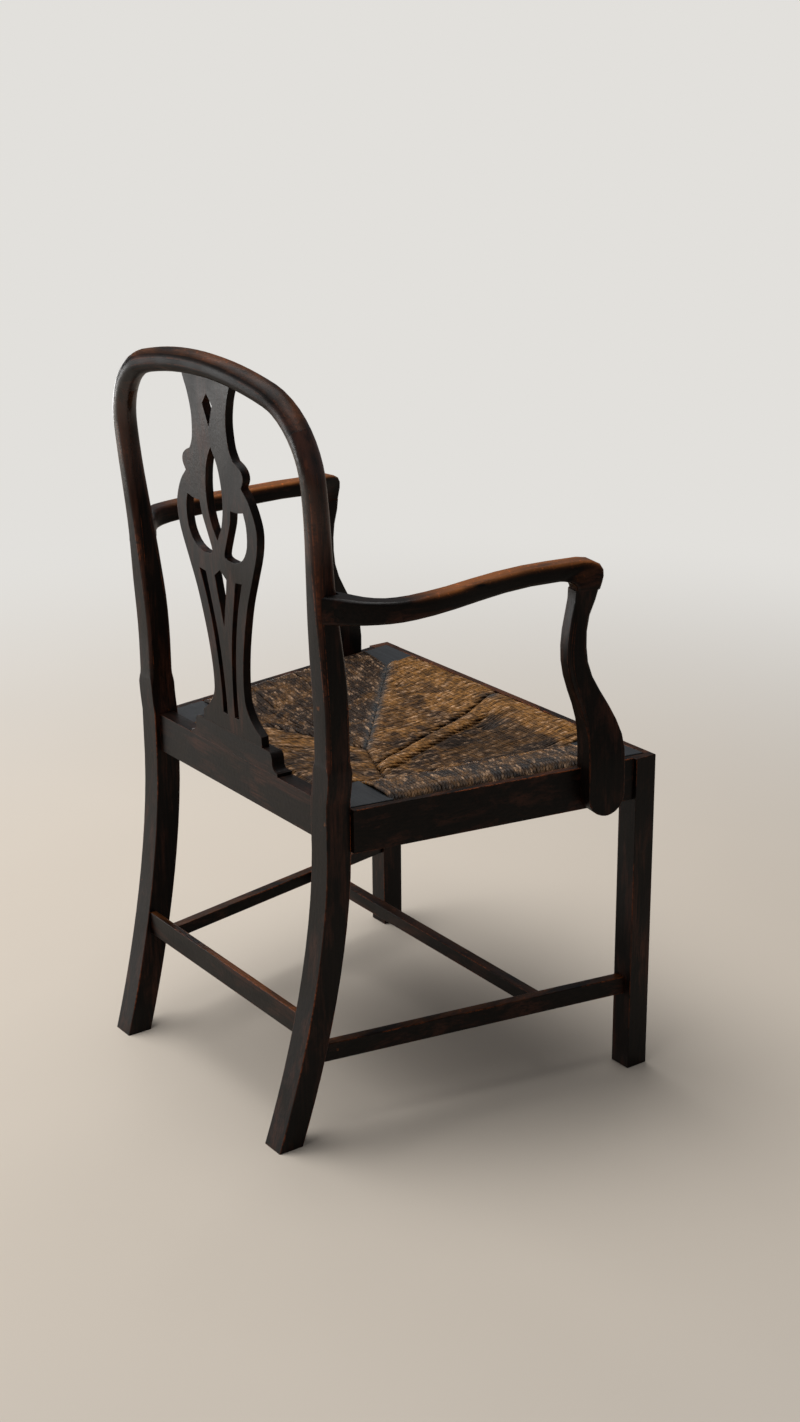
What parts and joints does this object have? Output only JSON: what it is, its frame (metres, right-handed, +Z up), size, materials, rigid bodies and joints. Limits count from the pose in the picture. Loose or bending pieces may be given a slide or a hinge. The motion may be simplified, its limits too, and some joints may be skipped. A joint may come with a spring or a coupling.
{
  "type": "elbow chair",
  "caption": "Wooden elbow chair with a hooped back, pierced splat, outswept arms, square stretchered legs and a drop-in rush seat that lifts out.",
  "frame": {"origin": "floor under the middle of the chair's outer box", "axes": "+X towards the sitter's left, +Y from the front of the chair to its back, +Z up"},
  "size_m": [0.6298, 0.531, 0.9727],
  "materials": {
    "stained_wood": "dark brown stain under old wax, worn to a lighter brown on the arms and edges",
    "corner_block_wood": "dark grey-brown stain, dull",
    "bare_wood": "unstained, aged",
    "rush": "twisted rush, worn, mixed brown, ochre and grey strands",
    "screw_steel": "plain steel, dull"
  },
  "bodies": {
    "chair_frame": {"back_leg_left": "stained_wood", "back_leg_right": "stained_wood", "crest_rail": "stained_wood", "crest_dowels": "bare_wood", "splat": "stained_wood", "splat_shoe": "stained_wood", "front_leg_left": "stained_wood", "front_leg_right": "stained_wood", "front_seat_rail": "stained_wood", "back_seat_rail": "stained_wood", "side_seat_rail_left": "stained_wood", "side_seat_rail_right": "stained_wood", "brace_front_left": "bare_wood", "brace_front_right": "bare_wood", "brace_back_left": "bare_wood", "brace_back_right": "bare_wood", "side_stretcher_left": "stained_wood", "side_stretcher_right": "stained_wood", "cross_stretcher": "stained_wood", "back_stretcher": "stained_wood", "arm_left": "stained_wood", "arm_right": "stained_wood", "arm_support_left": "stained_wood", "arm_support_right": "stained_wood", "arm_screws": "screw_steel", "arm_plugs": "stained_wood", "support_screws": "screw_steel"},
    "drop_in_seat": {"seat_block_front_left": "corner_block_wood", "seat_block_front_right": "corner_block_wood", "seat_block_back_left": "corner_block_wood", "seat_block_back_right": "corner_block_wood", "seat_bar_front": "bare_wood", "seat_bar_back": "bare_wood", "seat_bar_left": "bare_wood", "seat_bar_right": "bare_wood", "rush_panel": "rush"}
  },
  "joints": [
    {"name": "seat_lift", "type": "slide", "parent": "chair_frame", "child": "drop_in_seat", "axis": [0, 0, 1], "range_m": [0, 0.032]}
  ]
}
